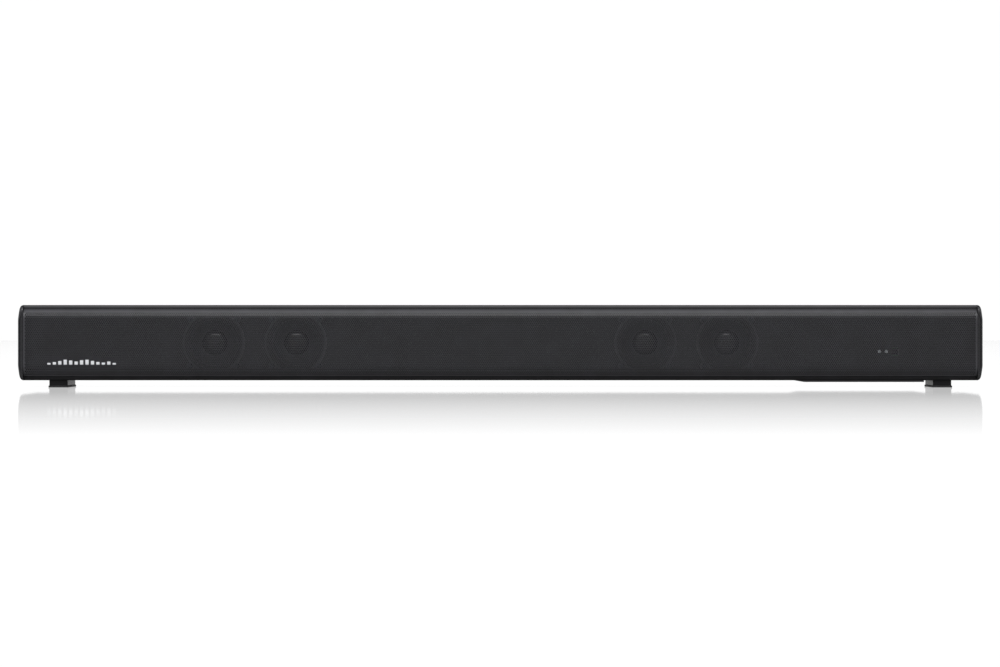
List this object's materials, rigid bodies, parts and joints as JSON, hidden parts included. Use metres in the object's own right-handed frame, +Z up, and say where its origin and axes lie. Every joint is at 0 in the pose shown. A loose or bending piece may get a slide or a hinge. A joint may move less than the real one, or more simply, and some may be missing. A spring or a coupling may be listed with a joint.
{
  "type": "soundbar",
  "caption": "Long low loudspeaker bar with a perforated front grille, flush end caps, two feet, drivers, ports, amplifier and side push buttons.",
  "frame": {"origin": "middle of the footprint on the surface that the feet stand on", "axes": "+X along the bar to the end with the electronics and buttons, +Y towards the back, +Z up; the grille faces -Y"},
  "size_m": [0.94, 0.073, 0.0805],
  "materials": {
    "case_plastic": "semi-gloss black ABS",
    "moulded_plastic": "fine textured black ABS",
    "inner_plastic": "matt black ABS",
    "grille_steel": "satin black powder coat on perforated steel",
    "badge_metal": "satin silver",
    "foot_rubber": "matt black rubber",
    "basket_steel": "black painted pressed steel",
    "motor_metal": "zinc plate and ferrite",
    "cone_plastic": "black polypropylene, slight sheen",
    "cap_gloss": "glossy black",
    "surround_rubber": "matt black butyl rubber",
    "circuit_board": "green solder mask",
    "transformer_iron": "varnished core and tape",
    "capacitor_sleeve": "printed sleeve",
    "sink_aluminium": "extruded, plain",
    "light_lens": "clear diffused lens",
    "receiver_plastic": "dark infrared window",
    "button_plastic": "semi-gloss black ABS",
    "socket_plastic": "black nylon",
    "lead_sleeve": "red PVC sleeve",
    "screw_steel": "black zinc plated"
  },
  "bodies": {
    "case": {"top_panel": "case_plastic", "base_panel": "case_plastic", "rear_panel": "moulded_plastic", "front_baffle": "inner_plastic", "centre_partition": "moulded_plastic", "bay_partition": "moulded_plastic", "end_cap_left": "case_plastic", "end_cap_right": "case_plastic", "bay_cover": "moulded_plastic", "badge": "badge_metal", "grille": "grille_steel", "grille_top_rail": "inner_plastic", "grille_bottom_rail": "inner_plastic", "foot_left": "moulded_plastic", "foot_right": "moulded_plastic", "foot_pad_left": "foot_rubber", "foot_pad_right": "foot_rubber", "driver_1_basket": "basket_steel", "driver_1_magnet": "motor_metal", "driver_1_suspension": "surround_rubber", "driver_2_basket": "basket_steel", "driver_2_magnet": "motor_metal", "driver_2_suspension": "surround_rubber", "driver_3_basket": "basket_steel", "driver_3_magnet": "motor_metal", "driver_3_suspension": "surround_rubber", "driver_4_basket": "basket_steel", "driver_4_magnet": "motor_metal", "driver_4_suspension": "surround_rubber", "port_left": "moulded_plastic", "port_right": "moulded_plastic", "power_board": "circuit_board", "transformer": "transformer_iron", "capacitors": "capacitor_sleeve", "amplifier_board": "circuit_board", "heat_sink": "sink_aluminium", "display_board": "circuit_board", "status_lights": "light_lens", "infrared_receiver": "receiver_plastic", "control_board": "circuit_board", "mains_inlet": "socket_plastic", "optical_socket": "socket_plastic", "aux_jack": "socket_plastic", "speaker_leads": "lead_sleeve", "driver_screws": "screw_steel", "baffle_screws": "screw_steel", "case_screws": "screw_steel"},
    "cone_1": {"driver_1_cone": "cone_plastic", "driver_1_dust_cap": "cap_gloss"},
    "cone_2": {"driver_2_cone": "cone_plastic", "driver_2_dust_cap": "cap_gloss"},
    "cone_3": {"driver_3_cone": "cone_plastic", "driver_3_dust_cap": "cap_gloss"},
    "cone_4": {"driver_4_cone": "cone_plastic", "driver_4_dust_cap": "cap_gloss"},
    "power_button": {"power_button": "button_plastic"},
    "source_button": {"source_button": "button_plastic"},
    "volume_down_button": {"volume_down_button": "button_plastic"},
    "volume_up_button": {"volume_up_button": "button_plastic"},
    "optical_flap": {"optical_flap": "socket_plastic"}
  },
  "joints": [
    {"name": "cone_1_slide", "type": "slide", "parent": "case", "child": "cone_1", "axis": [0, -1, 0], "range_m": [-0.002, 0.002], "stiffness_N_per_m": 1200, "deforming": ["driver_1_suspension"]},
    {"name": "cone_2_slide", "type": "slide", "parent": "case", "child": "cone_2", "axis": [0, -1, 0], "range_m": [-0.002, 0.002], "stiffness_N_per_m": 1200, "deforming": ["driver_2_suspension"]},
    {"name": "cone_3_slide", "type": "slide", "parent": "case", "child": "cone_3", "axis": [0, -1, 0], "range_m": [-0.002, 0.002], "stiffness_N_per_m": 1200, "deforming": ["driver_3_suspension"]},
    {"name": "cone_4_slide", "type": "slide", "parent": "case", "child": "cone_4", "axis": [0, -1, 0], "range_m": [-0.002, 0.002], "stiffness_N_per_m": 1200, "deforming": ["driver_4_suspension"]},
    {"name": "power_button_push", "type": "slide", "parent": "case", "child": "power_button", "axis": [-1, 0, 0], "range_m": [0, 0.0006], "stiffness_N_per_m": 1500},
    {"name": "source_button_push", "type": "slide", "parent": "case", "child": "source_button", "axis": [-1, 0, 0], "range_m": [0, 0.0006], "stiffness_N_per_m": 1500},
    {"name": "volume_down_button_push", "type": "slide", "parent": "case", "child": "volume_down_button", "axis": [-1, 0, 0], "range_m": [0, 0.0006], "stiffness_N_per_m": 1500},
    {"name": "volume_up_button_push", "type": "slide", "parent": "case", "child": "volume_up_button", "axis": [-1, 0, 0], "range_m": [0, 0.0006], "stiffness_N_per_m": 1500},
    {"name": "optical_flap_hinge", "type": "hinge", "parent": "case", "child": "optical_flap", "pos_m": [0.396, 0.0314, 0.02765], "axis": [1, 0, 0], "range_deg": [-80, 0], "stiffness_Nm_per_rad": 0.0001}
  ]
}
